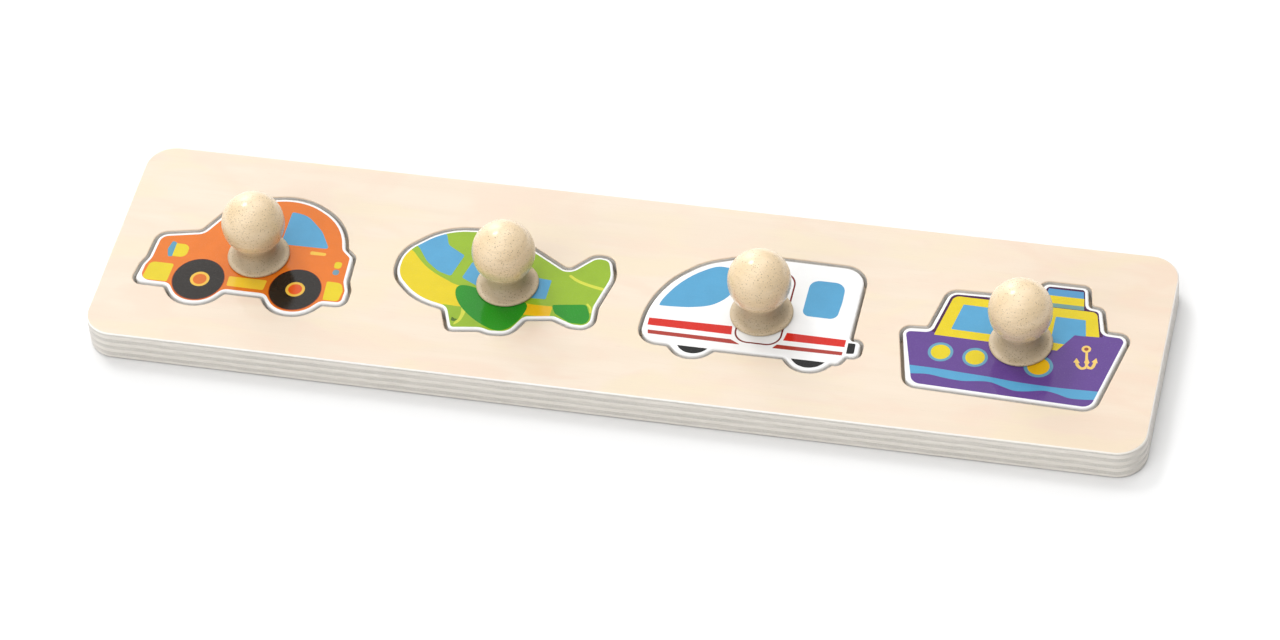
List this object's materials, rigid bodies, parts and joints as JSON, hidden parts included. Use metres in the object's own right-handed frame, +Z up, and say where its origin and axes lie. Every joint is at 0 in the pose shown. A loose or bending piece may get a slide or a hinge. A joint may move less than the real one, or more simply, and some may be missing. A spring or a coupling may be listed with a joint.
{
  "type": "peg puzzle",
  "caption": "Long wooden tray with vehicle-shaped recesses, each holding a printed plywood cutout that lifts out by a turned ball knob.",
  "frame": {"origin": "middle of the board's underside", "axes": "+X along the board's length, to the right as the pictures are read; +Y from the front edge to the back edge; +Z up, out of the pictures"},
  "size_m": [0.39, 0.0966, 0.0421],
  "materials": {
    "board_plywood": "pale plywood, sanded, satin clear varnish",
    "knob_beech": "turned beech, clear varnish",
    "car_print": "plywood, printed face under satin varnish",
    "plane_print": "plywood, printed face under satin varnish",
    "train_print": "plywood, printed face under satin varnish",
    "ship_print": "plywood, printed face under satin varnish",
    "screw_steel": "zinc plated"
  },
  "bodies": {
    "board": {"frame_board": "board_plywood", "backing_board": "board_plywood"},
    "car": {"car_piece": "car_print", "car_knob": "knob_beech", "car_screw": "screw_steel"},
    "plane": {"plane_piece": "plane_print", "plane_knob": "knob_beech", "plane_screw": "screw_steel"},
    "train": {"train_piece": "train_print", "train_knob": "knob_beech", "train_screw": "screw_steel"},
    "ship": {"ship_piece": "ship_print", "ship_knob": "knob_beech", "ship_screw": "screw_steel"}
  },
  "joints": [
    {"name": "car_lift", "type": "slide", "parent": "board", "child": "car", "axis": [0, 0, 1], "range_m": [0, 0.05]},
    {"name": "plane_lift", "type": "slide", "parent": "board", "child": "plane", "axis": [0, 0, 1], "range_m": [0, 0.05]},
    {"name": "train_lift", "type": "slide", "parent": "board", "child": "train", "axis": [0, 0, 1], "range_m": [0, 0.05]},
    {"name": "ship_lift", "type": "slide", "parent": "board", "child": "ship", "axis": [0, 0, 1], "range_m": [0, 0.05]}
  ]
}
